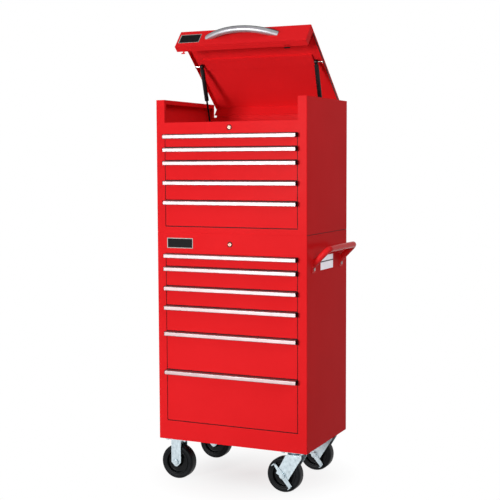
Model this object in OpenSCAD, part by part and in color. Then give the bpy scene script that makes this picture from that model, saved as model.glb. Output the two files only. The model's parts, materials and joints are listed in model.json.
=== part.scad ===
// Top chest with a lifting lid on a roll cabinet. Millimetres, Z up, drawers open to -Y.
// Origin: floor level, middle of the cabinet footprint.

/* [Body] */
// Outside width of the chest and the cabinet
body_w = 660; // [640:1:690]
// Outside depth of the chest and the cabinet
body_d = 452; // [446:1:480]
// Thickness of the body sheet
sheet = 1.2; // [1:0.1:1.5]
// Width of the front posts and of the frame beside the lid
post_w = 38; // [36:0.5:42]
// Outside radius of the upright corners
corner_r = 3; // [2:0.5:5]
// Height of the rail under the cabinet drawers
cab_sill = 80; // [60:1:90]
// Height of the rail over the cabinet drawers
cab_head = 84; // [76:1:100]
// Height of the rail under the chest drawers
chest_sill = 26; // [24:1:34]
// Height of the lock rail over the chest drawers
lock_rail = 46; // [42:1:56]
// Height of the chest sides above the lock rail
chest_rise = 92; // [90:1:110]
// Seam between the chest and the cabinet
seam = 2.6; // [1:0.1:4]

/* [Drawers] */
// Height of one unit of drawer front
unit_h = 26.7; // [26.5:0.1:28]
// Gap between neighbouring drawer fronts
front_gap = 3.5; // [2:0.1:4]
// Gap at each end of a drawer front
end_gap = 3; // [1.5:0.1:3.5]
// Depth of the folded drawer front
front_d = 12; // [10:0.5:14]
// Thickness of the drawer sheet
drawer_t = 1; // [0.8:0.1:1.2]
// Width of the rolled top edge of a drawer
drawer_hem = 7; // [5:0.5:9]
// Height of the pull along a drawer front
pull_h = 17; // [15:0.5:18]
// Reach of the pull in front of a drawer
pull_d = 22.5; // [20:0.5:26]
// Wall thickness of the pull
pull_t = 1.8; // [1.5:0.1:2.2]

/* [Slides] */
// Length of a drawer slide
slide_l = 400; // [380:5:404]
// Height of a drawer slide
slide_h = 35; // [34:0.5:36]
// Thickness of a complete drawer slide
slide_w = 12.5; // [12.5:0.1:13]
// Running clearance of the slide members
slide_gap = 0.1; // [0.05:0.01:0.15]

/* [Lid] */
// Angle of the open lid
lid_open = 40.9; // [35:0.1:45]
// Depth of the front flange of the lid
lid_front_h = 86; // [84:0.5:87]
// Depth of the side flanges of the lid
lid_side_h = 17; // [16:0.5:20]
// Depth of the inward lip under the front flange
lid_lip = 30; // [24:1:34]
// Gap beside the lid
lid_gap = 1.5; // [1:0.1:2]
// Distance of the hinge pin below the lid top
hinge_drop = 50.5; // [48:0.5:54]
// Radius of the hinge knuckles
knuckle_r = 3.5; // [3:0.1:4]
// Radius of the hinge pin
hinge_pin_r = 1.75; // [1.5:0.05:2]

/* [Struts] */
// Distance of the struts inside the lid sides
strut_in = 30.5; // [26:0.5:40]
// Radius of a strut cylinder
strut_r = 9; // [8:0.5:10]
// Radius of a strut rod
rod_r = 4; // [3.5:0.1:5]
// Length of a strut cylinder with its socket
strut_cyl_l = 148; // [145:1:154]
// Radius of the lower strut pin
strut_pin_r = 3; // [2.5:0.1:4]
// Radius of the upper stud
stud_r = 2.4; // [2:0.1:2.6]
// Radius of the opening of the upper socket
socket_r = 7.6; // [7.6:0.1:7.9]

/* [Casters] */
// Height of a caster over the floor
caster_h = 171; // [166:1:180]
// Wheel radius
wheel_r = 71; // [66:0.5:72]
// Wheel tread width
wheel_w = 48; // [42:1:50]
// Inside width of a fork
fork_w = 54; // [50:1:58]
// Thickness of the fork steel
fork_t = 3; // [2.5:0.1:4]
// Axle radius
axle_r = 6; // [5:0.1:7]
// Running clearance of axles, kingpins and pins
run_gap = 0.05; // [0.02:0.01:0.1]
// Distance of the rigid casters inside the left side
rigid_in = 69; // [64:1:80]
// Distance of the kingpins inside the right side
swivel_in = 68; // [64:1:74]
// Distance of the front casters inside the front
caster_front = 44; // [42:1:56]
// Distance of the rear casters inside the back
caster_rear = 62; // [44:1:70]
// Trail of the swivel casters
trail = 42; // [38:1:45]

/* [Fittings] */
// Radius of the side handle tube
tube_r = 12.5; // [11:0.5:14]
// Half of the distance between the arms of the side handle
grip_half = 155; // [140:1:165]
// Reach of the side handle
grip_reach = 62; // [55:1:70]
// Distance of the feet of the lid handle inside the lid sides
bow_in = 128.5; // [120:0.5:140]
// Rise of the lid handle
bow_rise = 46; // [40:1:52]
// Width of the strap of the lid handle
bow_strap = 28; // [22:1:32]
// Radius of a lock bezel
bezel_r = 11; // [10:0.5:12]
// Radius of a lock core
core_r = 6.5; // [6:0.1:7]

/* [Hidden] */
$fn = 64;
RED = [0.86, 0.10, 0.13];
ALU = [0.86, 0.87, 0.89];
ZINC = [0.70, 0.74, 0.78];
BLACK = [0.07, 0.07, 0.08];
CHROME = [0.80, 0.81, 0.83];

cab_units = [2, 3, 3, 4, 6, 8];
chest_units = [2, 2, 3, 3, 4];
function above(u, k) = k == 0 ? 0 : u[k - 1] + above(u, k - 1);

front_y = -body_d / 2;
back_y = body_d / 2;
open_w = body_w - 2 * post_w;
in_x = body_w / 2 - sheet;
return_d = 14;

cab_z0 = caster_h;
cab_stack = cab_z0 + cab_sill;
cab_stack_top = cab_stack + above(cab_units, 6) * unit_h;
cab_top_z = cab_stack_top + cab_head;
chest_stack = cab_top_z + chest_sill;
chest_stack_top = chest_stack + above(chest_units, 5) * unit_h;
rail_top = chest_stack_top + lock_rail;
chest_top = rail_top + chest_rise;

cab_low = cab_stack - front_gap / 2;
chest_low = chest_stack - front_gap / 2;
front_w = open_w - 2 * end_gap;
box_w = open_w - 2 * slide_w;
box_y0 = front_y + front_d;
box_l = slide_l + 2;
slide_y0 = box_y0 + 1;
slide_t = 1.2;
ball_h = 3;
mid_h = slide_h - 2 * slide_t - 2 * ball_h;
core_h = mid_h - 2 * slide_t - 2 * ball_h;

hinge_y = back_y + knuckle_r;
hinge_z = chest_top - hinge_drop;
lid_w = open_w - 2 * lid_gap;
strut_x = lid_w / 2 - strut_in;
bow_w = lid_w - 2 * bow_in;
lid_z0 = chest_top - lid_front_h;
frame_lip = 17;
leaf_t = 1.2;
leaf_w = 32;
knuckle_n = 11;
knuckle_gap = 0.1;
hat_w = 2 * (strut_x - strut_r - 4);
hat_span = 60;
hat_back = 239.5;
hat_y = [hinge_y - hat_back - hat_span, hinge_y - hat_back];
hat_h = 7;

stud_y = hinge_y - 269.5;
stud_z = chest_top - 16;
foot_y = back_y - 93;
foot_z = chest_stack_top + 17;
stud_dy = stud_y - hinge_y;
stud_dz = stud_z - hinge_z;
open_y = hinge_y + stud_dy * cos(lid_open) + stud_dz * sin(lid_open);
open_z = hinge_z - stud_dy * sin(lid_open) + stud_dz * cos(lid_open);
strut_l = sqrt(pow(open_y - foot_y, 2) + pow(open_z - foot_z, 2));
strut_a = atan2(foot_y - open_y, open_z - foot_z);
eye_t = 10;

rigid_x = body_w / 2 - rigid_in;
swivel_x = body_w / 2 - swivel_in;
caster_y = [front_y + caster_front, back_y - caster_rear];
plate_x = 40;
plate_y = 27;
hub_l = fork_w - 2 * run_gap;
plate_t = 3;
race_h = 10;
head_z = caster_h - plate_t - race_h;
grip_y = -4;
grip_z = cab_top_z - 55 - grip_reach;
lock_z = chest_stack_top + lock_rail / 2;
cab_lock_z = cab_stack_top + cab_head / 2;
lock_hole_r = bezel_r - 1.9;

// A box given by its two opposite corners.
module block(a, b) translate(a) cube(b - a);

// The same shape on both sides of the middle plane.
module pair() { children(); mirror([1, 0, 0]) children(); }

// A 2D profile in Y and Z, drawn along X about the middle.
module along_x(w, cx = 0) translate([cx - w / 2, 0, 0]) rotate([90, 0, 90]) linear_extrude(w) children();

// A 2D outline in X and Z, t thick, with its front face at y.
module plate_xz(y, t) translate([0, y + t, 0]) rotate([90, 0, 0]) linear_extrude(t) children();

// A rod of radius r along X from x0 to x1.
module rod_x(x0, x1, r) translate([x0, 0, 0]) rotate([0, 90, 0]) cylinder(r = r, h = x1 - x0);

// A rod of radius r along Y from y0 to y1.
module rod_y(y0, y1, r) translate([0, y1, 0]) rotate([90, 0, 0]) cylinder(r = r, h = y1 - y0);

module round_rect(w, d, r) {
  square([w - 2 * r, d], center = true);
  square([w, d - 2 * r], center = true);
  for (x = [-1, 1], y = [-1, 1]) translate([x * (w / 2 - r), y * (d / 2 - r)]) circle(r);
}

// Four walls of sheet with the upright corners rounded.
module wrap(z0, z1) translate([0, 0, z0]) linear_extrude(z1 - z0) difference() {
  round_rect(body_w, body_d, corner_r);
  round_rect(body_w - 2 * sheet, body_d - 2 * sheet, corner_r - sheet);
}

// The turned-in edges beside the drawer stack.
module post_returns(z0, z1) pair()
  block([open_w / 2, front_y, z0], [open_w / 2 + sheet, front_y + return_d, z1]);

// A rail edge turned in at height z.
module rail_return(z) block([-open_w / 2 - sheet, front_y, z],
  [open_w / 2 + sheet, front_y + return_d, z + sheet]);

module cab_shell() color(RED) {
  difference() {
    wrap(cab_z0, cab_top_z);
    block([-open_w / 2, front_y - 1, cab_low], [open_w / 2, front_y + sheet + 1, cab_stack_top]);
    translate([0, front_y, cab_lock_z]) rod_y(-1, sheet + 1, lock_hole_r);
    for (y = [grip_y - grip_half, grip_y + grip_half])
      translate([0, y, grip_z - 18]) rod_x(in_x - 1, in_x + sheet + 1, 4);
  }
  post_returns(cab_low, cab_stack_top);
  rail_return(cab_low - sheet);
  rail_return(cab_stack_top);
}

// A pan of sheet inside the wrap: floor at z0, walls turned up, or down where wall is negative.
module pan(z0, wall, t) difference() {
  translate([0, 0, z0 + min(wall, 0)]) linear_extrude(t + abs(wall))
    round_rect(body_w - 2 * sheet, body_d - 2 * sheet, corner_r - sheet);
  translate([0, 0, wall > 0 ? z0 + t : z0 + wall - 1]) linear_extrude(abs(wall) + 1)
    square([body_w - 2 * sheet - 2 * t, body_d - 2 * sheet - 2 * t], center = true);
}

module caster_holes(r) for (s = [-rigid_x, swivel_x], y = caster_y, i = [-1, 1], j = [-1, 1])
  translate([s + plate_x * i, y + plate_y * j, caster_h - 20]) cylinder(r = r, h = 60);

// Hat-shaped stiffener over the casters at x.
module stiffener(x) translate([x, 0, cab_z0 + 1.5]) difference() {
  block([-62, -body_d / 2 + 3.2, 0], [62, body_d / 2 - 3.2, 18]);
  block([-22, -body_d, -1], [22, body_d, 16.5]);
  for (s = [-1, 1]) translate([s * 43, 0, 0]) block([-19.5, -body_d, 1.5], [19.5, body_d, 19]);
}

module cab_pans() color(RED) {
  difference() {
    union() {
      pan(cab_z0, 40, 1.5);
      stiffener(-rigid_x);
      stiffener(swivel_x);
    }
    caster_holes(4.2);
  }
  difference() {
    pan(cab_top_z - sheet, -24, sheet);
    at_bolts() translate([0, 0, -8]) cylinder(r = 4, h = 10);
  }
}

// Frame beside the lid: channel along the sides, flanges at the back corners.
module lid_frame() pair() {
  block([open_w / 2, front_y + sheet, chest_top - sheet], [in_x, back_y - sheet, chest_top]);
  block([open_w / 2, front_y + sheet, chest_top - frame_lip],
    [open_w / 2 + sheet, back_y - sheet, chest_top]);
  block([open_w / 2, back_y - 14, hinge_z - 8], [open_w / 2 + sheet, back_y, chest_top]);
}

module chest_shell() color(RED) {
  difference() {
    wrap(cab_top_z + seam, chest_top);
    block([-open_w / 2, front_y - 1, chest_low], [open_w / 2, front_y + sheet + 1, chest_stack_top]);
    block([-open_w / 2, front_y - 1, rail_top], [open_w / 2, front_y + sheet + 1, chest_top + 1]);
    block([-open_w / 2, back_y - sheet - 1, hinge_z - 5], [open_w / 2, back_y + 1, chest_top + 1]);
    translate([0, front_y, lock_z]) rod_y(-1, sheet + 1, lock_hole_r);
  }
  post_returns(chest_low, chest_stack_top);
  post_returns(rail_top, chest_top);
  rail_return(chest_low - sheet);
  rail_return(chest_stack_top);
  rail_return(rail_top - sheet);
  lid_frame();
}

// Bolts that hold the chest on the cabinet, and their holes.
module at_bolts() for (x = [-1, 1], y = [-1, 1])
  translate([x * (body_w / 2 - 80), y * (body_d / 2 - 66), cab_top_z]) children();

module stack_bolts() at_bolts() {
  translate([0, 0, -sheet - 5]) cylinder(r = 4, h = 2 * sheet + 5);
  translate([0, 0, sheet]) cylinder(r = 7, h = 5, $fn = 6);
  translate([0, 0, -sheet - 6]) cylinder(r = 7, h = 6, $fn = 6);
}

module chest_pans() color(RED) {
  difference() {
    pan(cab_top_z, 20, sheet);
    at_bolts() cylinder(r = 4, h = 10);
  }
  difference() {
    pan(chest_stack_top + sheet, 30, sheet);
    translate([0, front_y, lock_z]) rod_y(0, 30, bezel_r + 6);
  }
  stack_bolts();
}

// Hat-shaped upright from the side wall to the slides; the side handle's nuts sit inside the cabinet's.
module upright(y, z0, z1) translate([0, y, z0]) difference() {
  block([open_w / 2, -20, 0], [in_x, 20, z1 - z0]);
  block([open_w / 2 + sheet, -20 + sheet, -1], [in_x + 1, 20 - sheet, z1 - z0 + 1]);
}

// Slide members, drawn for the right side with the mounting face at x = open_w / 2.
module slide_outer(z) translate([open_w / 2, slide_y0, z]) difference() {
  block([-11, 0, -slide_h / 2], [0, slide_l, slide_h / 2]);
  block([-12, -1, -slide_h / 2 + slide_t], [-slide_t, slide_l + 1, slide_h / 2 - slide_t]);
}

module slide_mid(z) translate([open_w / 2, slide_y0, z]) {
  difference() {
    block([-11.6, 0, -mid_h / 2], [-2.2, slide_l, mid_h / 2]);
    block([-12, -1, -mid_h / 2 + slide_t], [-2.2 - slide_t, slide_l + 1, mid_h / 2 - slide_t]);
  }
  for (s = [-1, 1]) translate([0, 0, s * (mid_h / 2 + (ball_h - slide_gap) / 2)])
    block([-9, 12, -(ball_h - slide_gap) / 2], [-4, slide_l - 12, (ball_h - slide_gap) / 2]);
}

module slide_inner(z) translate([open_w / 2, slide_y0, z]) {
  difference() {
    block([-slide_w, 0, -core_h / 2], [-5, slide_l, core_h / 2]);
    block([-slide_w + slide_t, -1, -core_h / 2 + slide_t], [-4, slide_l + 1, core_h / 2 - slide_t]);
  }
  for (s = [-1, 1]) translate([0, 0, s * (core_h / 2 + (ball_h - slide_gap) / 2)])
    block([-10, 12, -(ball_h - slide_gap) / 2], [-5.5, slide_l - 12, (ball_h - slide_gap) / 2]);
}

function drawer_top(stack_top, u, k) = stack_top - above(u, k) * unit_h - front_gap / 2;
function drawer_h(u, k) = u[k] * unit_h - front_gap;
function slide_z(stack_top, u, k) = drawer_top(stack_top, u, k) - drawer_h(u, k) + 22;

module slide_rails() color(ZINC) {
  for (k = [0:5]) pair() slide_outer(slide_z(cab_stack_top, cab_units, k));
  for (k = [0:4]) pair() slide_outer(slide_z(chest_stack_top, chest_units, k));
  for (y = [grip_y - grip_half, grip_y + grip_half]) pair() {
    upright(y, cab_z0 + 45, cab_top_z - 30);
    upright(y, cab_top_z + 22, chest_stack_top);
  }
}

// Folded front panel with the pull side at front_y, top edge at z1.
module drawer_front(z1, h) {
  w = front_w / 2;
  difference() {
    block([-w, front_y, z1 - h], [w, box_y0, z1]);
    block([-w + drawer_t, front_y + drawer_t, z1 - h + drawer_t], [w - drawer_t, box_y0 + 1, z1 - drawer_t]);
    block([-w - 1, front_y + 8, z1 - h - 1], [w + 1, box_y0 + 1, z1 - h + drawer_t + 0.5]);
  }
  block([-w + drawer_t, box_y0 - drawer_t, z1 - h + 3], [w - drawer_t, box_y0, z1 - drawer_t]);
}

// Drawer tray with its walls hemmed at the top.
module drawer_tray(z0, h) {
  w = box_w / 2;
  y1 = box_y0 + box_l;
  difference() {
    block([-w, box_y0, z0], [w, y1, z0 + h]);
    block([-w + drawer_t, box_y0 + drawer_t, z0 + drawer_t], [w - drawer_t, y1 - drawer_t, z0 + h - drawer_t]);
    block([-w + drawer_hem, box_y0 + drawer_hem, z0 + h - 2], [w - drawer_hem, y1 - drawer_hem, z0 + h + 1]);
  }
}

module drawer(stack_top, u, k) color(RED) {
  z1 = drawer_top(stack_top, u, k);
  h = drawer_h(u, k);
  drawer_front(z1, h);
  drawer_tray(z1 - h + 3, h - 11);
  pair() slide_inner(slide_z(stack_top, u, k));
}

module pull_profile() {
  r = 5;
  translate([-pull_t, -pull_h]) square([pull_t, pull_h]);
  translate([-pull_d + r, -pull_t]) square([pull_d - r, pull_t]);
  translate([-pull_d + r, -r]) difference() {
    circle(r);
    circle(r - pull_t);
    translate([0, -r]) square([r, 2 * r]);
    translate([-r, -r]) square([2 * r, r]);
  }
  translate([-pull_d, -pull_h + 2]) square([pull_t, pull_h - 2 - r]);
  translate([-pull_d + 2, -pull_h + 2]) circle(2);
}

module pull(stack_top, u, k) color(ALU)
  translate([0, front_y, drawer_top(stack_top, u, k)]) along_x(open_w - 1) pull_profile();

module runner(stack_top, u, k) color(ZINC) pair() slide_mid(slide_z(stack_top, u, k));

module cab_drawer_1() drawer(cab_stack_top, cab_units, 0);
module cab_drawer_2() drawer(cab_stack_top, cab_units, 1);
module cab_drawer_3() drawer(cab_stack_top, cab_units, 2);
module cab_drawer_4() drawer(cab_stack_top, cab_units, 3);
module cab_drawer_5() drawer(cab_stack_top, cab_units, 4);
module cab_drawer_6() drawer(cab_stack_top, cab_units, 5);
module cab_pull_1() pull(cab_stack_top, cab_units, 0);
module cab_pull_2() pull(cab_stack_top, cab_units, 1);
module cab_pull_3() pull(cab_stack_top, cab_units, 2);
module cab_pull_4() pull(cab_stack_top, cab_units, 3);
module cab_pull_5() pull(cab_stack_top, cab_units, 4);
module cab_pull_6() pull(cab_stack_top, cab_units, 5);
module cab_runner_1() runner(cab_stack_top, cab_units, 0);
module cab_runner_2() runner(cab_stack_top, cab_units, 1);
module cab_runner_3() runner(cab_stack_top, cab_units, 2);
module cab_runner_4() runner(cab_stack_top, cab_units, 3);
module cab_runner_5() runner(cab_stack_top, cab_units, 4);
module cab_runner_6() runner(cab_stack_top, cab_units, 5);
module chest_drawer_1() drawer(chest_stack_top, chest_units, 0);
module chest_drawer_2() drawer(chest_stack_top, chest_units, 1);
module chest_drawer_3() drawer(chest_stack_top, chest_units, 2);
module chest_drawer_4() drawer(chest_stack_top, chest_units, 3);
module chest_drawer_5() drawer(chest_stack_top, chest_units, 4);
module chest_pull_1() pull(chest_stack_top, chest_units, 0);
module chest_pull_2() pull(chest_stack_top, chest_units, 1);
module chest_pull_3() pull(chest_stack_top, chest_units, 2);
module chest_pull_4() pull(chest_stack_top, chest_units, 3);
module chest_pull_5() pull(chest_stack_top, chest_units, 4);
module chest_runner_1() runner(chest_stack_top, chest_units, 0);
module chest_runner_2() runner(chest_stack_top, chest_units, 1);
module chest_runner_3() runner(chest_stack_top, chest_units, 2);
module chest_runner_4() runner(chest_stack_top, chest_units, 3);
module chest_runner_5() runner(chest_stack_top, chest_units, 4);

// Turns a piece drawn in the closed lid to the open lid.
module opened() translate([0, hinge_y, hinge_z]) rotate([-lid_open, 0, 0])
  translate([0, -hinge_y, -hinge_z]) children();

// A hinge leaf that goes up (s = 1) or down (s = -1) from the pin, with every second knuckle from the first.
module leaf(first, s) translate([0, hinge_y, hinge_z]) difference() {
  w = lid_w / 2 - 10;
  step = (2 * w + knuckle_gap) / knuckle_n;
  y0 = -knuckle_r - (s > 0 ? 0.2 : 0);
  union() {
    for (i = [first:2:knuckle_n - 1]) translate([-w + i * step, 0, 0]) {
      rod_x(0, step - knuckle_gap, knuckle_r);
      block([0, y0, min(0, s * knuckle_r)],
        [step - knuckle_gap, -knuckle_r + leaf_t, max(0, s * knuckle_r)]);
    }
    block([-w, y0, s > 0 ? knuckle_r : -leaf_w], [w, -knuckle_r + leaf_t, s > 0 ? leaf_w : -knuckle_r]);
  }
  rod_x(-lid_w, lid_w, hinge_pin_r + run_gap);
}

module lid() color(RED) opened() {
  w = lid_w / 2;
  difference() {
    translate([0, 0, lid_z0]) linear_extrude(lid_front_h) round_rect(lid_w, body_d, 2.5);
    block([-w + sheet, front_y + sheet, lid_z0 - 1], [w - sheet, back_y - sheet, chest_top - sheet]);
    block([-w - 1, front_y + lid_lip, lid_z0 - 1], [w + 1, back_y + 1, hinge_z + 1]);
    block([-w - 1, front_y + lid_lip, lid_z0 - 1], [w + 1, back_y - sheet - 2, chest_top - lid_side_h]);
  }
  lid_lip_plate();
  translate([0, 0, chest_top - sheet]) difference() {
    block([-hat_w / 2, hat_y[0], -hat_h], [hat_w / 2, hat_y[1], 0]);
    block([-hat_w / 2 - 1, hat_y[0] + sheet, -hat_h + sheet], [hat_w / 2 + 1, hat_y[1] - sheet, 1]);
  }
  leaf(0, 1);
}

// Lip under the front flange with its slot and its catch hook.
module lid_lip_plate() translate([0, front_y, lid_z0]) {
  difference() {
    block([-lid_w / 2 + 0.5, 0.5, 0], [lid_w / 2 - 0.5, lid_lip, sheet]);
    block([lid_w / 2 - 102.5, lid_lip - 8, -1], [lid_w / 2 - 76.5, lid_lip - 3, sheet + 1]);
  }
  translate([33 - lid_w / 2, lid_lip - 2, 0]) {
    block([-3, 0, -14], [3, 2, sheet]);
    block([-8, 0, -14], [8, 2, -9]);
  }
}

module lid_handle() color(ALU) opened() translate([0, front_y, chest_top - 44]) {
  rise = bow_rise;
  half = bow_w / 2;
  rad = (half * half + rise * rise) / (2 * rise);
  a = asin(half / rad);
  translate([0, rad - rise - 4.4, 0]) rotate([0, 0, -90 - a]) translate([0, 0, -bow_strap / 2])
    rotate_extrude(angle = 2 * a, $fn = 180) translate([rad - 5, 0]) square([5, bow_strap]);
  pair() block([half - 14, -5, -bow_strap / 2 - 1.5], [half + 4, 0, bow_strap / 2 + 1.5]);
}

module badge(x0, x1, z0, z1) {
  block([x0, front_y - 1.6, z0], [x1, front_y, z1]);
}

module lid_fittings() color(BLACK) opened() {
  badge(-lid_w / 2 + 11, -lid_w / 2 + 106, chest_top - 68, chest_top - 20);
  pair() translate([0, stud_y, stud_z]) rod_x(strut_x - 3, lid_w / 2 - sheet, stud_r);
}

module hinge_leaf() color(RED) {
  leaf(1, -1);
  translate([0, hinge_y, hinge_z]) rod_x(-lid_w / 2 + 9, lid_w / 2 - 9, hinge_pin_r);
}

module strut_brackets() color(ZINC) pair() translate([0, foot_y, foot_z]) {
  rod_x(strut_x + eye_t / 2 + 0.1, in_x - sheet, 7);
  rod_x(in_x - sheet - 3, in_x - sheet, 12);
  rod_x(strut_x - eye_t / 2 - 3, in_x - sheet, strut_pin_r);
  rod_x(strut_x - eye_t / 2 - 3, strut_x - eye_t / 2 - 0.1, 5.5);
}

// Stands children, drawn along Z from the lower pin, along the open strut.
module on_strut() pair() translate([strut_x, foot_y, foot_z]) rotate([strut_a, 0, 0]) children();

module strut_rods() color(BLACK) on_strut() {
  difference() {
    union() {
      rod_x(-eye_t / 2, eye_t / 2, 8);
      cylinder(r = rod_r, h = strut_l - strut_cyl_l + 25);
      translate([0, 0, 10]) cylinder(r = 6, h = 32);
    }
    rod_x(-eye_t, eye_t, strut_pin_r + run_gap);
  }
}

module strut_cylinders() color(BLACK) on_strut() {
  top = strut_l;
  difference() {
    union() {
      translate([0, 0, top - strut_cyl_l]) cylinder(r = strut_r, h = strut_cyl_l - 13);
      translate([0, 0, top - 14]) cylinder(r = 6.5, h = 10);
      translate([0, 0, top]) rod_x(-5, 5, socket_r + 2.2);
    }
    translate([0, 0, top - strut_cyl_l - 1]) cylinder(r = rod_r + 0.1, h = strut_cyl_l - 28);
    translate([0, 0, top]) rod_x(-3.5, 8, socket_r);
  }
}

module lock_body(z) translate([0, front_y, z]) difference() {
  union() {
    rod_y(-2.5, 0, bezel_r);
    rod_y(-1, 22, bezel_r - 2);
    rod_y(sheet, sheet + 3, bezel_r + 2);
  }
  rod_y(-3, 23, core_r + run_gap);
}

module lock_bodies() color(CHROME) {
  lock_body(lock_z);
  lock_body(cab_lock_z);
}

module lock_core(z) translate([0, front_y, z]) {
  difference() {
    union() {
      rod_y(-2.2, 22, core_r);
      rod_y(22, 23.5, 8);
    }
    block([-0.8, -3, -4.5], [0.8, 8, 4.5]);
  }
  plate_xz(23.5, 2) {
    translate([0, -6]) square([26, 12]);
    circle(8);
  }
}

module chest_lock_core() color(CHROME) lock_core(lock_z);
module cab_lock_core() color(CHROME) lock_core(cab_lock_z);

module cab_badge() color(BLACK)
  badge(46 - body_w / 2, 164 - body_w / 2, cab_lock_z - 21, cab_lock_z + 21);

// Tube of the side handle in its own plane: arms along X, grip along Y.
module grip_tube() {
  bend = 24;
  reach = grip_reach * sqrt(2);
  for (s = [-1, 1]) {
    translate([0, s * grip_half, 0]) rod_x(-20, reach - bend, tube_r);
    translate([reach - bend, s * (grip_half - bend), 0]) rotate([0, 0, s > 0 ? 0 : -90])
      rotate_extrude(angle = 90) translate([bend, 0]) circle(tube_r);
  }
  translate([reach, 0, 0]) rod_y(-grip_half + bend, grip_half - bend, tube_r);
}

module side_handle() color(RED) translate([body_w / 2, grip_y, grip_z]) {
  difference() {
    rotate([0, -45, 0]) grip_tube();
    block([-80, -300, -80], [0, 300, 80]);
  }
  for (s = [-1, 1]) translate([0, s * grip_half, 0]) {
    difference() {
      block([0, -17, -32], [3, 17, 20]);
      translate([0, 0, -18]) rod_x(-1, 4, 4);
    }
    translate([0, 0, -18]) {
      rod_x(-sheet, 3, 4);
      rod_x(3, 6.5, 6);
      rod_x(-sheet - 5, -sheet, 7);
    }
  }
}

// Mounting plate of a caster with its four bolts, drawn about the caster at (x, y).
module caster_plate(x, y) translate([x, y, 0]) {
  difference() {
    translate([0, 0, caster_h - plate_t]) linear_extrude(plate_t) round_rect(2 * plate_x + 20, 2 * plate_y + 20, 8);
    for (i = [-1, 1], j = [-1, 1]) translate([plate_x * i, plate_y * j, 0]) cylinder(r = 4, h = caster_h + 1);
  }
  for (i = [-1, 1], j = [-1, 1]) translate([plate_x * i, plate_y * j, caster_h - plate_t]) {
    cylinder(r = 4, h = plate_t + 12);
    translate([0, 0, -5]) cylinder(r = 7, h = 5, $fn = 6);
    translate([0, 0, plate_t + 3]) cylinder(r = 7, h = 6, $fn = 6);
  }
}

// Axle with its head and nut; lever leaves room for a brake plate.
module axle(lever) {
  rod_y(-fork_w / 2 - fork_t - lever - 5, fork_w / 2 + fork_t + 12, axle_r);
  rod_y(-fork_w / 2 - fork_t - lever - 6, -fork_w / 2 - fork_t - lever, 10);
  rod_y(fork_w / 2 + fork_t, fork_w / 2 + fork_t + 9, 10);
}

module rigid_fork(y) translate([-rigid_x, y, 0]) {
  difference() {
    union() {
      block([-30, -fork_w / 2 - fork_t, caster_h - plate_t - 4], [30, fork_w / 2 + fork_t, caster_h - plate_t]);
      for (s = [-1, 1]) plate_xz(s * (fork_w + fork_t) / 2 - fork_t / 2, fork_t) translate([0, wheel_r]) {
        polygon([[-22, caster_h - plate_t - wheel_r], [22, caster_h - plate_t - wheel_r],
          [22, 0], [9.5, -13], [-9.5, -13], [-22, 0]]);
        translate([0, -6.5]) circle(11.2);
      }
    }
    translate([0, 0, wheel_r]) rod_y(-60, 60, axle_r);
  }
  translate([0, 0, wheel_r]) axle(0);
}

module rigid_forks() color(ZINC) for (y = caster_y) {
  caster_plate(-rigid_x, y);
  rigid_fork(y);
}

module swivel_plates() color(ZINC) for (y = caster_y) {
  caster_plate(swivel_x, y);
  translate([swivel_x, y, 0]) {
    translate([0, 0, head_z]) cylinder(r1 = 24, r2 = 33, h = race_h);
    translate([0, 0, head_z - 12]) cylinder(r = axle_r, h = 14);
    translate([0, 0, head_z - 12]) cylinder(r = 9.5, h = 12 - 4 - 2 * run_gap);
  }
}

module swivel_fork(y) translate([swivel_x, y, 0]) {
  difference() {
    union() {
      translate([0, 0, head_z - 4 - run_gap]) cylinder(r = 30, h = 4);
      block([-24, -fork_w / 2 - fork_t, head_z - 4 - run_gap], [24, fork_w / 2 + fork_t, head_z - run_gap]);
      for (s = [-1, 1]) plate_xz(s * (fork_w + fork_t) / 2 - fork_t / 2, fork_t) {
        polygon([[-27, head_z - run_gap], [38, head_z - run_gap], [38, head_z - 12],
          [-trail + 22, wheel_r - 19], [-trail - 29, wheel_r + 6]]);
        translate([-trail, wheel_r]) circle(15);
      }
    }
    translate([0, 0, head_z - 5]) cylinder(r = axle_r + run_gap, h = 6);
    translate([-trail, 0, wheel_r]) rod_y(-60, 60, axle_r);
  }
  translate([-trail, 0, wheel_r]) axle(fork_t + 2 * run_gap);
}

module swivel_fork_front() color(ZINC) swivel_fork(caster_y[0]);
module swivel_fork_rear() color(ZINC) swivel_fork(caster_y[1]);

module wheel(x, y) color(BLACK) translate([x, y, wheel_r]) rotate([90, 0, 0]) rotate_extrude($fn = 128)
  difference() {
    union() {
      translate([axle_r + run_gap, -hub_l / 2]) square([12, hub_l]);
      translate([axle_r + run_gap, -8]) square([wheel_r - 20, 16]);
      translate([wheel_r - 22, -wheel_w / 2]) square([17, wheel_w]);
      translate([wheel_r - 8, -wheel_w / 2 + 5]) square([8, wheel_w - 10]);
      for (s = [-1, 1]) translate([wheel_r - 5, s * (wheel_w / 2 - 5)]) circle(5);
    }
    translate([-50, -50]) square([50 + axle_r + run_gap, 100]);
  }

module wheel_rigid_front() wheel(-rigid_x, caster_y[0]);
module wheel_rigid_rear() wheel(-rigid_x, caster_y[1]);
module wheel_swivel_front() wheel(swivel_x - trail, caster_y[0]);
module wheel_swivel_rear() wheel(swivel_x - trail, caster_y[1]);

// Two-armed brake lever on the end of the axle.
module brake(y) color(ZINC) translate([swivel_x - trail, y, wheel_r]) {
  y0 = -fork_w / 2 - 2 * fork_t - run_gap;
  difference() {
    plate_xz(y0, fork_t) {
      circle(14);
      rotate(-52) polygon([[-58, -4], [0, -10], [58, -8], [58, 8], [0, 10], [-58, 4]]);
    }
    rod_y(-60, 0, axle_r + run_gap);
  }
  for (s = [-1, 1]) rotate([0, 52, 0]) translate([s * 56.5, 0, 0])
    block([-1.5, y0 - 14, -8], [1.5, y0 + 0.5, 8]);
}

module brake_front() brake(caster_y[0]);
module brake_rear() brake(caster_y[1]);

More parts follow.
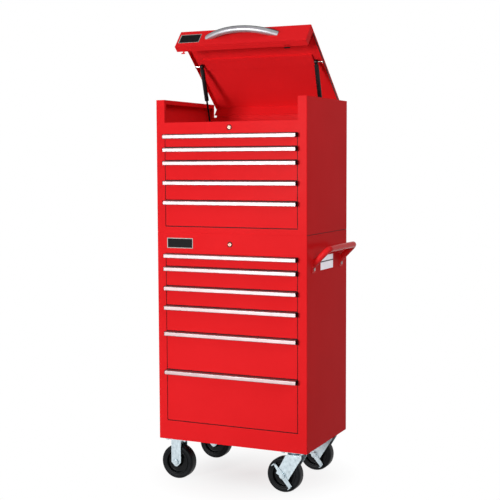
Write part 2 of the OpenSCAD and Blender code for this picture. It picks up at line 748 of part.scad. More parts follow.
cab_shell();
cab_pans();
chest_shell();
chest_pans();
slide_rails();
cab_drawer_1();
cab_drawer_2();
cab_drawer_3();
cab_drawer_4();
cab_drawer_5();
cab_drawer_6();
cab_pull_1();
cab_pull_2();
cab_pull_3();
cab_pull_4();
cab_pull_5();
cab_pull_6();
cab_runner_1();
cab_runner_2();
cab_runner_3();
cab_runner_4();
cab_runner_5();
cab_runner_6();
chest_drawer_1();
chest_drawer_2();
chest_drawer_3();
chest_drawer_4();
chest_drawer_5();
chest_pull_1();
chest_pull_2();
chest_pull_3();
chest_pull_4();
chest_pull_5();
chest_runner_1();
chest_runner_2();
chest_runner_3();
chest_runner_4();
chest_runner_5();
lid();
lid_handle();
lid_fittings();
hinge_leaf();
strut_brackets();
strut_rods();
strut_cylinders();
lock_bodies();
chest_lock_core();
cab_lock_core();
cab_badge();
side_handle();
rigid_forks();
swivel_plates();
swivel_fork_front();
swivel_fork_rear();
wheel_rigid_front();
wheel_rigid_rear();
wheel_swivel_front();
wheel_swivel_rear();
brake_front();
brake_rear();
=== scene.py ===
import json
from math import asin, radians, tau

import bmesh
import bpy
from mathutils import Matrix, Vector

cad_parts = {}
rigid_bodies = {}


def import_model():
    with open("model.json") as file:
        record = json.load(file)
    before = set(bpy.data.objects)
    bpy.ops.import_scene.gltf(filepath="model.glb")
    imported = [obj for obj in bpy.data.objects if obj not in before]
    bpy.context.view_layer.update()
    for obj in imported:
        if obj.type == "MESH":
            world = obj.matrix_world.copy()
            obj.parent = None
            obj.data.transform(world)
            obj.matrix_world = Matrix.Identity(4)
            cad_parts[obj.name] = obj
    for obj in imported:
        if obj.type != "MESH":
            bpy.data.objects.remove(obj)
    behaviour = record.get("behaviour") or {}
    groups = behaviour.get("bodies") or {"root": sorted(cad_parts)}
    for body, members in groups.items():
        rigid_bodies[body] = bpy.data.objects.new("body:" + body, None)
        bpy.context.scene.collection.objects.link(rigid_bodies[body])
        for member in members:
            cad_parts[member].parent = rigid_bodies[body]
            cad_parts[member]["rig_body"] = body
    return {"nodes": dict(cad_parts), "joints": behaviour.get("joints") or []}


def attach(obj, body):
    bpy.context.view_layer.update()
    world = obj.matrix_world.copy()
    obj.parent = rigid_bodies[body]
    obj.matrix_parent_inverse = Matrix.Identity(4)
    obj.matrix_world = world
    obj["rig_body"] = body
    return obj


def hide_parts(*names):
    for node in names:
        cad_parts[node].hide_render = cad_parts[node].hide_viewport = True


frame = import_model()
nodes = frame["nodes"]
joints = {joint["name"]: joint for joint in frame["joints"]}
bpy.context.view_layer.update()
print("stage: frame loaded with", len(nodes), "nodes")


# Shader helpers.
class Wire:  # a socket that takes part in sums
    def __init__(self, maker, socket):
        self.maker = maker
        self.socket = socket

    def sum(self, operation, *others):
        values = dict(enumerate((self, *others)))
        return self.maker.node("ShaderNodeMath", {"operation": operation}, values)

    def __add__(self, other):
        return self.sum("ADD", other)

    def __mul__(self, other):
        return self.sum("MULTIPLY", other)

    def __rsub__(self, other):
        return self.maker.node("ShaderNodeMath", {"operation": "SUBTRACT"}, {0: other, 1: self})

    def above(self, low, high):  # 0 under low, 1 over high
        return self.maker.node("ShaderNodeMapRange", {"clamp": True}, {0: self, 1: low, 2: high})


class NodeMaker:  # adds nodes to one tree
    def __init__(self, tree):
        self.tree = tree

    def node(self, kind, settings=None, values=None, out=0):
        made = self.tree.nodes.new(kind)
        for label, value in (settings or {}).items():
            setattr(made, label, value)
        for label, value in (values or {}).items():
            if isinstance(value, Wire):
                self.tree.links.new(value.socket, made.inputs[label])
            else:
                made.inputs[label].default_value = value
        return Wire(self, made.outputs[out]) if made.outputs else made


class Finish(NodeMaker):  # one material
    def __init__(self, name, **plain):
        self.material = bpy.data.materials.new(name)
        self.material.use_nodes = True
        super().__init__(self.material.node_tree)
        self.shader = self.tree.nodes["Principled BSDF"]
        for label, value in plain.items():
            self.shader.inputs[label.replace("_", " ")].default_value = value
        self.place = self.node("ShaderNodeTexCoord", out="Object")

    def stretched(self, x, y, z):
        return self.node("ShaderNodeMapping", None, {"Vector": self.place, "Scale": (x, y, z)})

    def noise(self, scale, detail=2.0, roughness=0.5, where=None):
        values = {"Vector": where or self.place, "Scale": scale, "Detail": detail, "Roughness": roughness}
        return self.node("ShaderNodeTexNoise", {"noise_dimensions": "3D"}, values)

    def blend(self, factor, first, second):
        values = {0: factor, 6: first, 7: second}
        return self.node("ShaderNodeMix", {"data_type": "RGBA"}, values, out=2)

    def feed(self, label, wire):
        self.tree.links.new(wire.socket, self.shader.inputs[label])

    def bump(self, height, strength, distance):
        values = {"Height": height, "Strength": strength, "Distance": distance}
        self.feed("Normal", self.node("ShaderNodeBump", None, values))


# Red enamel with a faint orange peel.
paintLook = {
    "colour": (0.810, 0.0180, 0.0220, 1),
    "deep": (0.765, 0.0155, 0.0190, 1),
    "gloss": 0.005,
    "roughness": (0.18, 0.27),
    "peelScale": 380,
    "peelStrength": 0.02,
}


def makePaint(name, look):
    finish = Finish(name, Specular_IOR_Level=look["gloss"])
    cloud = finish.noise(2.6, 3).above(0.35, 0.68)
    finish.feed("Base Color", finish.blend(cloud, look["colour"], look["deep"]))
    low, high = look["roughness"]
    smear = finish.noise(9, 4, 0.6).above(0.3, 0.75)
    finish.feed("Roughness", smear * (high - low) + low)
    finish.bump(finish.noise(look["peelScale"], 1), look["peelStrength"], 0.0004)
    return finish.material


# Bare and plated metals: two colours in patches, a roughness range, a grain scale for each axis.
metalLook = {
    "satinAluminium": {
        "colours": ((0.40, 0.31, 0.315, 1), (0.36, 0.28, 0.285, 1)),
        "roughness": (0.40, 0.52), "grain": (4, 900, 900), "patches": 38,
    },
    "brightZinc": {
        "colours": ((0.52, 0.60, 0.64, 1), (0.41, 0.48, 0.52, 1)),
        "roughness": (0.26, 0.42), "grain": (120, 120, 60), "patches": 90,
    },
    "chrome": {
        "colours": ((0.60, 0.58, 0.55, 1), (0.50, 0.48, 0.46, 1)),
        "roughness": (0.10, 0.18), "grain": (90, 90, 90), "patches": 38,
    },
    "brushedSteel": {
        "colours": ((0.50, 0.49, 0.52, 1), (0.44, 0.43, 0.46, 1)),
        "roughness": (0.40, 0.52), "grain": (6, 700, 700), "patches": 38,
    },
    "smokedSteel": {
        "colours": ((0.085, 0.105, 0.10, 1), (0.065, 0.08, 0.078, 1)),
        "roughness": (0.42, 0.54), "grain": (60, 60, 60), "patches": 30,
    },
    "darkBronze": {
        "colours": ((0.050, 0.024, 0.020, 1), (0.034, 0.017, 0.015, 1)),
        "roughness": (0.40, 0.50), "grain": (90, 90, 90), "patches": 60,
    },
    "lockNickel": {
        "colours": ((0.42, 0.22, 0.18, 1), (0.34, 0.18, 0.15, 1)),
        "roughness": (0.36, 0.46), "grain": (90, 90, 90), "patches": 60,
    },
    "labelFoil": {
        "colours": ((0.74, 0.71, 0.75, 1), (0.66, 0.64, 0.69, 1)),
        "roughness": (0.34, 0.46), "grain": (300, 300, 300), "patches": 24,
    },
}


def makeMetal(name):
    look = metalLook[name]
    finish = Finish(name, Metallic=1.0)
    grain = finish.noise(1, 3, 0.6, finish.stretched(*look["grain"]))
    patches = finish.noise(look["patches"], 3).above(0.38, 0.66)
    finish.feed("Base Color", finish.blend(patches, *look["colours"]))
    low, high = look["roughness"]
    finish.feed("Roughness", grain.above(0.3, 0.7) * (high - low) + low)
    finish.bump(grain, 0.05, 0.0002)
    return finish.material


blackLook = {
    "tyreRubber": {
        "colours": ((0.004, 0.005, 0.006, 1), (0.009, 0.010, 0.012, 1)),
        "roughness": (0.36, 0.52), "scale": 60, "bump": 0.10, "gloss": 0.10,
    },
    "hubPlastic": {
        "colours": ((0.004, 0.005, 0.006, 1), (0.008, 0.009, 0.010, 1)),
        "roughness": (0.26, 0.38), "scale": 50, "bump": 0.05, "gloss": 0.12,
    },
    "blackEnamel": {
        "colours": ((0.005, 0.005, 0.006, 1), (0.010, 0.010, 0.011, 1)),
        "roughness": (0.24, 0.36), "scale": 30, "bump": 0.04, "gloss": 0.16,
    },
    "blackPlastic": {
        "colours": ((0.006, 0.006, 0.007, 1), (0.011, 0.011, 0.012, 1)),
        "roughness": (0.36, 0.50), "scale": 90, "bump": 0.10, "gloss": 0.05,
    },
}


def makeBlack(name):
    look = blackLook[name]
    finish = Finish(name, Specular_IOR_Level=look["gloss"])
    cloud = finish.noise(look["scale"], 4, 0.6)
    finish.feed("Base Color", finish.blend(cloud.above(0.35, 0.7), *look["colours"]))
    low, high = look["roughness"]
    finish.feed("Roughness", cloud.above(0.3, 0.7) * (high - low) + low)
    finish.bump(finish.noise(look["scale"] * 14, 2), look["bump"], 0.0003)
    return finish.material


# The side handle's paint: the body red set a little lighter as painted light on the lit tube, and glossier.
litHandleLook = {
    **paintLook, "colour": (0.84, 0.020, 0.024, 1), "deep": (0.80, 0.018, 0.021, 1),
    "gloss": 0.05, "roughness": (0.18, 0.26),
}
redPaint = makePaint("redPaint", paintLook)
handlePaint = makePaint("handlePaint", litHandleLook)  # glossier, on the tube of the side handle; its colour is the body red painted lighter, painted light
(
    satinAluminium, brightZinc, chrome, brushedSteel,
    smokedSteel, darkBronze, lockNickel, labelFoil,
) = (makeMetal(name) for name in metalLook)
tyreRubber, hubPlastic, blackEnamel, blackPlastic = (makeBlack(name) for name in blackLook)
print("stage: finishes made")


# The lid is drawn closed and turned open about its hinge.
lidHinge = joints["lid_hinge"]
hingeAt = Vector(lidHinge["pos_m"])
lidTurn = Matrix.Rotation(radians(-lidHinge["range_deg"][1]), 4, "X")
openLid = Matrix.Translation(hingeAt) @ lidTurn @ Matrix.Translation(-hingeAt)


def boxOf(points):
    points = list(points)
    return tuple(Vector(pick(point[axis] for point in points) for axis in range(3)) for pick in (min, max))


def nodeBox(name):
    return boxOf(vert.co for vert in nodes[name].data.vertices)


def closedPoints(name):  # the points of a node of the lid, with the lid closed
    closing = openLid.inverted()
    return [closing @ vert.co for vert in nodes[name].data.vertices]


def place(mesh, name, body, material, replaced=(), smooth=True):
    data = bpy.data.meshes.new(name)
    for face in mesh.faces:
        face.smooth = smooth
    mesh.to_mesh(data)
    mesh.free()
    data.materials.append(material)
    piece = bpy.data.objects.new(name, data)
    bpy.context.scene.collection.objects.link(piece)
    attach(piece, body)
    if replaced:
        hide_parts(*replaced)
    return piece


def roundEdges(piece, width, segments=2, angle=30, weight=80):
    bevel = piece.modifiers.new("edges", "BEVEL")
    bevel.width = width
    bevel.segments = segments
    bevel.limit_method = "ANGLE"
    bevel.angle_limit = radians(angle)
    flats = piece.modifiers.new("flats", "WEIGHTED_NORMAL")
    flats.mode = "FACE_AREA"
    flats.weight = weight


mergeWithin = 1e-6
flatWithin = radians(0.4)


def dressNode(nodeName, material, width):
    source = nodes[nodeName]
    mesh = bmesh.new()
    mesh.from_mesh(source.data)
    bmesh.ops.remove_doubles(mesh, verts=mesh.verts, dist=mergeWithin)
    bmesh.ops.dissolve_limit(mesh, angle_limit=flatWithin, verts=mesh.verts, edges=mesh.edges)
    piece = place(mesh, nodeName + "_skin", source["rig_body"], material, (nodeName,))
    roundEdges(piece, width)


def rounded(mesh, parts, offset, affect, segments):
    bmesh.ops.bevel(
        mesh, geom=parts, offset=offset, affect=affect, segments=segments, profile=0.5, material=-1)


def block(low, high, rounding, segments=2):  # a box with rounded edges
    mesh = bmesh.new()
    low, high = Vector(low), Vector(high)
    bmesh.ops.create_cube(mesh, size=1)
    bmesh.ops.scale(mesh, vec=high - low, verts=mesh.verts)
    bmesh.ops.translate(mesh, vec=(low + high) / 2, verts=mesh.verts)
    rounded(mesh, mesh.edges, rounding, "EDGES", segments)
    return mesh


def standing(at, along):  # turns local Z to along and moves to at
    return Matrix.Translation(at) @ Vector(along).to_track_quat("Z", "Y").to_matrix().to_4x4()


def lathe(corners, at, along, rounding, steps):  # corners are (radius, height) pairs
    mesh = bmesh.new()
    ring = [mesh.verts.new((radius, 0, height)) for radius, height in corners]
    mesh.faces.new(ring)
    turned = [vert for vert in ring if vert.co.x > mergeWithin]
    rounded(mesh, turned, rounding, "VERTICES", 3)
    bmesh.ops.delete(mesh, geom=mesh.faces[:], context="FACES_ONLY")
    onAxis = [edge for edge in mesh.edges if all(vert.co.x < mergeWithin for vert in edge.verts)]
    bmesh.ops.delete(mesh, geom=onAxis, context="EDGES")
    outline = mesh.verts[:] + mesh.edges[:]
    bmesh.ops.spin(
        mesh, geom=outline, cent=(0, 0, 0), axis=(0, 0, 1), angle=tau, steps=steps, use_merge=True)
    bmesh.ops.remove_doubles(mesh, verts=mesh.verts, dist=mergeWithin)
    bmesh.ops.recalc_face_normals(mesh, faces=mesh.faces)
    bmesh.ops.transform(mesh, matrix=standing(at, along), verts=mesh.verts)
    return mesh


hexRounding = 0.0006


def hexHead(radius, height, at, along):  # a bolt head or nut that stands on at
    mesh = bmesh.new()
    bmesh.ops.create_cone(mesh, cap_ends=True, segments=6, radius1=radius, radius2=radius, depth=height)
    bmesh.ops.translate(mesh, vec=(0, 0, height / 2), verts=mesh.verts)
    rounded(mesh, mesh.edges, hexRounding, "EDGES", 2)
    bmesh.ops.transform(mesh, matrix=standing(at, along), verts=mesh.verts)
    return mesh


# Bodies, drawers, lid and casters from their own shapes, with the sheet edges rounded.
skinWidth = {"thin": 0.00045, "panel": 0.0005}
skins = {
    "red_paint": (redPaint, "panel", [
        "cab_shell", "cab_pans", "chest_shell", "chest_pans", "lid", "hinge_leaf"]),
    "zinc_steel": (brightZinc, "thin", [
        "slide_rails", "strut_brackets", "rigid_forks", "swivel_plates",
        "swivel_fork_front", "swivel_fork_rear", "brake_front", "brake_rear"]),
    "chrome": (lockNickel, "thin", ["chest_lock_core", "cab_lock_core"]),
    "black_steel": (blackEnamel, "thin", ["strut_rods", "strut_cylinders"]),
}
for slot, (material, width, names) in skins.items():
    for nodeName in names:
        dressNode(nodeName, material, skinWidth[width])
dressNode("side_handle", handlePaint, skinWidth["panel"])
print("stage: bodies, lid and casters dressed")

# Pulls get a black block on each end, so that their ends show dark.
pullLook = {"capThick": 0.0014, "proud": 0.0003, "sunk": 0.0001, "rounding": 0.0004}


def makePullEndBlock(name, low, high, side, body):
    look = pullLook
    proud = look["proud"]
    outer = side * max(abs(low.x), abs(high.x))
    ends = sorted((outer + side * proud, outer - side * look["capThick"]))
    near, far = (ends[0], low.y - proud, low.z - proud), (ends[1], high.y - look["sunk"], high.z + proud)
    mesh = block(near, far, look["rounding"])
    place(mesh, name, body, blackPlastic)


# Black strips in the gaps around each drawer front, painted shade of the gaps; the lowest drawer has one
# under it too.
gapShadeLook = {
    "deep": (0.0012, 0.0042), "foot": 0.0005, "side": 0.0024, "between": 0.0030,
    "atRail": 0.0012, "under": 0.0040, "rounding": 0.0002,
}


def makeGapShades(nodeName, frontHalf, low, high, first, last):
    look, body = gapShadeLook, nodes[nodeName]["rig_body"]
    near, far = (low.y + depth for depth in look["deep"])
    side, foot = look["side"], look["foot"]
    above = look["atRail"] if first else look["between"]
    strips = {
        "left": ((-frontHalf - side, near, low.z + foot), (-frontHalf, far, high.z + above)),
        "right": ((frontHalf, near, low.z + foot), (frontHalf + side, far, high.z + above)),
        "top": ((-frontHalf, near, high.z), (frontHalf, far, high.z + above)),
    }
    if last:
        strips["bottom"] = ((-frontHalf - side, near, low.z - look["under"]), (frontHalf + side, far, low.z))
    for label, corners in strips.items():
        strip = block(*corners, look["rounding"], 1)
        place(strip, f"{nodeName}_gap_shade_{label}", body, blackPlastic, smooth=False)


frontDeep = 0.001  # the drawer's front face is found within this depth
for prefix, count in (("cab", 6), ("chest", 5)):
    for number in range(1, count + 1):
        drawer = f"{prefix}_drawer_{number}"
        dressNode(drawer, redPaint, skinWidth["thin"])
        low, high = nodeBox(drawer)
        front = [vert.co for vert in nodes[drawer].data.vertices if vert.co.y < low.y + frontDeep]
        low, high = boxOf(front)
        makeGapShades(drawer, high.x, low, high, number == 1, number == count)
        dressNode(f"{prefix}_pull_{number}", satinAluminium, skinWidth["thin"])
        dressNode(f"{prefix}_runner_{number}", brightZinc, skinWidth["thin"])
        low, high = nodeBox(f"{prefix}_pull_{number}")
        body = nodes[f"{prefix}_pull_{number}"]["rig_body"]
        for side, sideName in ((-1, "left"), (1, "right")):
            makePullEndBlock(f"{prefix}_pull_{number}_cap_{sideName}", low, high, side, body)
print("stage: drawers and pulls dressed")

# Wheels: rubber tyre, plastic hub with a raised rim and a boss.
wheelLook = {
    "half": 0.024, "tyreDeep": 0.021, "tread": (0.004, 0.007), "bead": 0.001, "tyreRound": 0.0035,
    "ring": (0.0015, 0.0065), "rimProud": 0.0012, "slope": 0.002, "web": 0.011, "boss": 0.018,
    "bossFoot": 0.004, "bore": 0.0062, "hubRound": 0.0010,
}


def dressWheel(nodeName):
    look = wheelLook
    low, high = nodeBox(nodeName)
    centre = (low + high) / 2
    outer, hubHalf = (high.z - low.z) / 2, (high.y - low.y) / 2
    body = nodes[nodeName]["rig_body"]
    half = look["half"]
    rim = outer - look["tyreDeep"]
    along = (0, 1, 0)
    (treadIn, treadSide), bead = look["tread"], look["bead"]
    tyre = lathe([
        (rim, -half + bead), (outer - treadIn, -half), (outer, -half + treadSide), (outer, half - treadSide),
        (outer - treadIn, half), (rim, half - bead)], centre, along, look["tyreRound"], 128)
    place(tyre, nodeName + "_tyre", body, tyreRubber, (nodeName,))
    ringOut, ringIn, lip = rim + look["ring"][0], rim - look["ring"][1], half + look["rimProud"]
    web, boss, bore = look["web"], look["boss"], look["bore"]
    foot, slope = boss + look["bossFoot"], ringIn + look["slope"]
    hub = lathe([
        (bore, -hubHalf), (boss, -hubHalf), (foot, -web), (ringIn, -web), (slope, -lip), (ringOut, -lip),
        (ringOut, lip), (slope, lip), (ringIn, web), (foot, web), (boss, hubHalf), (bore, hubHalf)],
        centre, along, look["hubRound"], 96)
    place(hub, nodeName + "_hub", body, hubPlastic)


for nodeName in ("wheel_rigid_front", "wheel_rigid_rear", "wheel_swivel_front", "wheel_swivel_rear"):
    dressWheel(nodeName)


# Black strips in the seam between the chest and the cabinet, along both sides, painted shade of the seam.
seamShadeLook = {"tall": 0.0014, "thick": 0.0040, "inside": 0.0004, "fromEnds": 0.004, "rounding": 0.0002}


def makeSeamShade():
    look = seamShadeLook
    low, high = nodeBox("cab_shell")
    body = nodes["cab_shell"]["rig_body"]
    middle = (high.z + nodeBox("chest_shell")[0].z) / 2
    for side, sideName in ((-1, "left"), (1, "right")):
        ends = sorted(side * (high.x - look["inside"] - depth) for depth in (0, look["thick"]))
        mesh = block((ends[0], low.y + look["fromEnds"], middle - look["tall"] / 2),
                     (ends[1], high.y - look["fromEnds"], middle + look["tall"] / 2), look["rounding"], 1)
        place(mesh, f"seam_shade_{sideName}", body, blackPlastic, smooth=False)


makeSeamShade()

# Hexagon heads on the axles.
axleLook = {
    "radius": 0.0118, "headHigh": 0.0066, "nutHigh": 0.0096,
    "headAt": {"rigid": 0.030, "swivel": 0.0331}, "nutAt": 0.030,
}
axles = (
    ("rigid_front", "wheel_rigid_front", "rigid_forks", "rigid"),
    ("rigid_rear", "wheel_rigid_rear", "rigid_forks", "rigid"),
    ("swivel_front", "wheel_swivel_front", "swivel_fork_front", "swivel"),
    ("swivel_rear", "wheel_swivel_rear", "swivel_fork_rear", "swivel"),
)
for axleName, wheelName, forkName, kind in axles:
    low, high = nodeBox(wheelName)
    centre = (low + high) / 2
    body = nodes[forkName]["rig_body"]
    ends = (
        ("head", -1, axleLook["headAt"][kind], axleLook["headHigh"]),
        ("nut", 1, axleLook["nutAt"], axleLook["nutHigh"]),
    )
    for end, side, start, tall in ends:
        at = centre + Vector((0, side * start, 0))
        mesh = hexHead(axleLook["radius"], tall, at, (0, side, 0))
        place(mesh, f"axle_{axleName}_{end}", body, brightZinc, smooth=False)
print("stage: wheels and axles made")

# Lid handle: a satin bar bent to an arc, its lower edge well rounded, with a dark strip along its top.
bowLook = {
    "half": 0.162, "rise": 0.042, "setBack": 0.0038, "strap": 0.0225, "lift": 0.0022, "deep": 0.019,
    "steps": 72, "crown": 0.0014, "crest": 0.004, "topRound": 0.0032, "lowRound": 0.0092,
    "trim": 0.0080, "trimDeep": 0.0050, "trimProud": 0.0004, "trimLean": 0.3,
    "past": 0.0008, "rounding": 0.0003,
}


def bendBow(name, section, material, replaced=()):  # section: (depth behind the face, height, rounding)
    look = bowLook
    low, high = boxOf(closedPoints("lid_handle"))
    faceY = boxOf(closedPoints("lid"))[0].y
    radius = (look["half"] ** 2 + look["rise"] ** 2) / (2 * look["rise"])
    sweep = 2 * asin(look["half"] / radius)
    middleY, middleZ = low.y + look["setBack"] + radius, (low.z + high.z) / 2 + look["lift"]
    middle = Vector(((low.x + high.x) / 2, middleY, middleZ))
    mesh = bmesh.new()
    corners = [Vector((0, depth - radius, height)) for depth, height, rounding in section]
    ring = [mesh.verts.new(middle + corner) for corner in corners]
    mesh.faces.new(ring)
    for vert, (depth, height, rounding) in zip(ring, section):
        if rounding:
            rounded(mesh, [vert], rounding, "VERTICES", 8)
    bmesh.ops.rotate(mesh, cent=middle, matrix=Matrix.Rotation(-sweep / 2, 3, "Z"), verts=mesh.verts)
    bmesh.ops.spin(mesh, geom=mesh.faces[:], cent=middle, axis=(0, 0, 1), angle=sweep, steps=look["steps"])
    parts = mesh.verts[:] + mesh.edges[:] + mesh.faces[:]
    cut = (0, faceY + look["past"], 0)
    bmesh.ops.bisect_plane(mesh, geom=parts, plane_co=cut, plane_no=(0, 1, 0), clear_outer=True)
    bmesh.ops.holes_fill(mesh, edges=mesh.edges[:], sides=0)
    bmesh.ops.recalc_face_normals(mesh, faces=mesh.faces)
    bmesh.ops.transform(mesh, matrix=openLid, verts=mesh.verts)
    roundEdges(place(mesh, name, "lid", material, replaced), look["rounding"], 1, weight=50)


def makeBow():
    look, half = bowLook, bowLook["strap"] / 2
    crown, crest, proud = look["crown"], look["crest"], look["trimProud"]
    bendBow("lid_handle_bar", [
        (look["deep"], half, 0), (crown, half, look["topRound"]), (0, crest, 0),
        (crown, -half, look["lowRound"]), (look["deep"], -half, 0)], brushedSteel, ("lid_handle",))
    bendBow("lid_handle_trim", [
        (look["trimDeep"], half + proud, 0), (crown - proud, half + proud, look["topRound"]),
        (crown * look["trimLean"] - proud, half - look["trim"], 0),
        (look["trimDeep"], half - look["trim"], 0)], smokedSteel)


makeBow()

# Black strips along the outer sides of the lid, painted shade of the side flanges' edges.
lidSideShadeLook = {
    "thick": 0.0006, "sunk": 0.0002, "under": 0.017, "tall": 0.0085,
    "fromFront": 0.032, "fromBack": 0.012, "rounding": 0.0002,
}


def makeLidSideShade():
    low, high = boxOf(closedPoints("lid"))
    look = lidSideShadeLook
    flangeLow = high.z - look["under"]
    for side, sideName in ((-1, "left"), (1, "right")):
        ends = sorted((side * (high.x - look["sunk"]), side * (high.x + look["thick"])))
        mesh = block((ends[0], low.y + look["fromFront"], flangeLow),
                     (ends[1], high.y - look["fromBack"], flangeLow + look["tall"]), look["rounding"], 1)
        bmesh.ops.transform(mesh, matrix=openLid, verts=mesh.verts)
        place(mesh, f"lid_edging_{sideName}", "lid", blackPlastic)


makeLidSideShade()

# Black block in the slot of the lid's lip, painted shade of the slot.
lipSlotShadeLook = {
    "fromSide": (0.0965, 0.0705), "fromFront": (0.0222, 0.0268), "under": 0.0010, "over": 0.0030,
    "rounding": 0.0006,
}


def makeLipSlotShade():
    look = lipSlotShadeLook
    low, high = boxOf(closedPoints("lid"))
    mesh = block(
        (high.x - look["fromSide"][0], low.y + look["fromFront"][0], low.z - look["under"]),
        (high.x - look["fromSide"][1], low.y + look["fromFront"][1], low.z + look["over"]), look["rounding"])
    bmesh.ops.transform(mesh, matrix=openLid, verts=mesh.verts)
    place(mesh, "lid_bumper", "lid", blackPlastic)


makeLipSlotShade()

# Bare plates with a bright rim, and the bright strut studs.
plateLook = {
    "rim": 0.0026, "sunk": 0.0006, "gap": 0.0003, "raised": 0.0002, "rounding": 0.0003, "fieldRound": 0.0001,
}


def makePlate(name, low, high, body, turn, replaced):
    look = plateLook
    rim, sunk, raised = look["rim"], look["sunk"], look["raised"]
    mesh = block(low, high, look["rounding"])
    front = min(mesh.faces, key=lambda face: face.calc_center_median().y)
    bmesh.ops.inset_individual(mesh, faces=[front], thickness=rim, depth=-sunk)
    bmesh.ops.transform(mesh, matrix=turn, verts=mesh.verts)
    place(mesh, name + "_rim", body, chrome, replaced, smooth=False)
    inner = Vector((rim + look["gap"], sunk - raised, rim + look["gap"]))
    far = Vector((high.x - inner.x, high.y - raised, high.z - inner.z))
    field = block(low + inner, far, look["fieldRound"])
    bmesh.ops.transform(field, matrix=turn, verts=field.verts)
    place(field, name + "_field", body, blackPlastic, smooth=False)


frontY = nodeBox("cab_badge")[1].y
plateBehind, studsBehind, coreBehind = 0.001, 0.05, 0.01  # depths that tell these pieces apart
fittings = closedPoints("lid_fittings")
platePoints = [point for point in fittings if point.y < frontY + plateBehind]
makePlate("lid_plate", *boxOf(platePoints), "lid", openLid, ("lid_fittings",))
makePlate("cab_plate", *nodeBox("cab_badge"), nodes["cab_badge"]["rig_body"], Matrix(), ("cab_badge",))

studLook = {
    "radius": 0.0024, "collar": 0.0072, "collarThick": 0.0025, "sleeve": 0.0032, "sleeveFoot": 0.0003,
    "neck": 0.0004, "socket": 0.0090, "rounding": 0.0003,
}
studPoints = [point for point in fittings if point.y > frontY + studsBehind]
studLow, studHigh = boxOf(studPoints)
for side, sideName in ((-1, "left"), (1, "right")):
    at = Vector((side * studHigh.x, (studLow.y + studHigh.y) / 2, (studLow.z + studHigh.z) / 2))
    reach = studHigh.x - min(abs(point.x) for point in studPoints)
    thick, sleeve, radius = studLook["collarThick"], studLook["sleeve"], studLook["radius"]
    bare, collar = reach - studLook["socket"], studLook["collar"]
    stud = lathe([
        (0, 0), (collar, 0), (collar, thick), (sleeve, thick + studLook["sleeveFoot"]),
        (sleeve, bare), (radius, bare + studLook["neck"]), (radius, reach), (0, reach)],
        at, (-side, 0, 0), studLook["rounding"], 32)
    bmesh.ops.transform(stud, matrix=openLid, verts=stud.verts)
    place(stud, f"strut_stud_{sideName}", "lid", chrome)
print("stage: lid handle, plates and studs made")

# Locks: a turned bezel with a stepped face, and a black block in the core, painted shade of the keyway.
lockLook = {
    "outer": 0.011, "land": 0.0078, "proud": 0.0026, "bore": 0.00655, "sunk": 0.0006, "crownEdge": 0.0012,
    "skirt": 0.0008, "seat": 0.0001, "wall": 0.0020, "deep": 0.020, "rounding": 0.0003,
    "nut": ((-0.0018, 0.0022), (0.0012, 0.0044)),
    "key": (0.0012, 0.0047), "keyLift": 0.0002, "keyDeep": 0.006, "keyRound": 0.0002,
}


def makeLock(name, at, coreName, replaced):
    look, body = lockLook, nodes["lock_bodies"]["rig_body"]
    outer, land, proud, bore = (look[label] for label in ("outer", "land", "proud", "bore"))
    deep, rounding, inner = look["deep"], look["rounding"], outer - look["wall"]
    bezel = lathe([
        (bore, deep), (bore, -proud + look["sunk"]), (land, -proud), (outer - look["crownEdge"], -proud),
        (outer, -look["skirt"]), (outer, look["seat"]), (inner, look["seat"]), (inner, deep)],
        at, (0, 1, 0), rounding, 64)
    place(bezel, name + "_bezel", body, darkBronze, replaced)
    (nutIn, nutOut), (nutNear, nutFar) = look["nut"]
    nutIn, nutOut = outer + nutIn, outer + nutOut
    nut = lathe([
        (nutIn, nutNear), (nutOut, nutNear), (nutOut, nutFar), (nutIn, nutFar)], at, (0, 1, 0), rounding, 6)
    place(nut, name + "_nut", body, brightZinc, smooth=False)
    keyHalf, keyLong = look["key"]
    keyLow = at + Vector((-keyHalf, -proud + look["keyLift"], -keyLong))
    keywayShade = block(keyLow, at + Vector((keyHalf, look["keyDeep"], keyLong)), look["keyRound"])
    place(keywayShade, name + "_keyway", nodes[coreName]["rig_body"], blackPlastic, smooth=False)


for lockName, replaced in (("chest_lock", ("lock_bodies",)), ("cab_lock", ())):
    coreName = lockName + "_core"
    coreData = nodes[coreName].data
    low, high = boxOf(vert.co for vert in coreData.vertices if vert.co.y < frontY + coreBehind)
    makeLock(lockName, Vector(((low.x + high.x) / 2, frontY, (low.z + high.z) / 2)), coreName, replaced)

# Bright bolt heads on the feet of the side handle.
boltLook = {
    "radius": 0.0063, "corner": 1.12, "thick": 0.0040, "inward": 0.017,
    "above": (0.032, 0.018), "foot": 0.003,
}
low, high = nodeBox("side_handle")
footX = nodeBox("cab_shell")[1].x + boltLook["foot"]
gripMiddle = (low.y + high.y) / 2
gripHalf = (high.y - low.y) / 2 - boltLook["inward"]
boltZ = low.z + boltLook["above"][0] - boltLook["above"][1]
boltBody = nodes["side_handle"]["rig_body"]
for side, sideName in ((-1, "front"), (1, "rear")):
    at = (footX, gripMiddle + side * gripHalf, boltZ)
    bolt = hexHead(boltLook["radius"] * boltLook["corner"], boltLook["thick"], at, (1, 0, 0))
    place(bolt, f"side_handle_bolt_{sideName}", boltBody, satinAluminium, smooth=False)

# Bare foil label under the side handle: two fields, and between them a black line that is the painted shadow
# of the handle; nothing printed.
labelLook = {
    "y": (-0.080, 0.060), "z": (0.8834, 0.9140, 0.9185, 0.9400),
    "thick": 0.0004, "sunk": 0.0002, "rounding": 0.0001,
}
sideX = nodeBox("cab_shell")[1].x
labelBody = nodes["cab_shell"]["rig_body"]
bottom, split, splitTop, top = labelLook["z"]
for name, low, high, material, slot in (
    ("side_label_low", bottom, split, labelFoil, "aluminium"),
    ("side_label_line", split, splitTop, blackPlastic, "black_plastic"),
    ("side_label_high", splitTop, top, labelFoil, "aluminium"),
):
    nearY, farY = labelLook["y"]
    near, far = (sideX - labelLook["sunk"], nearY, low), (sideX + labelLook["thick"], farY, high)
    field = block(near, far, labelLook["rounding"], 1)
    place(field, name, labelBody, material, smooth=False)
print("stage: locks and bolts made")

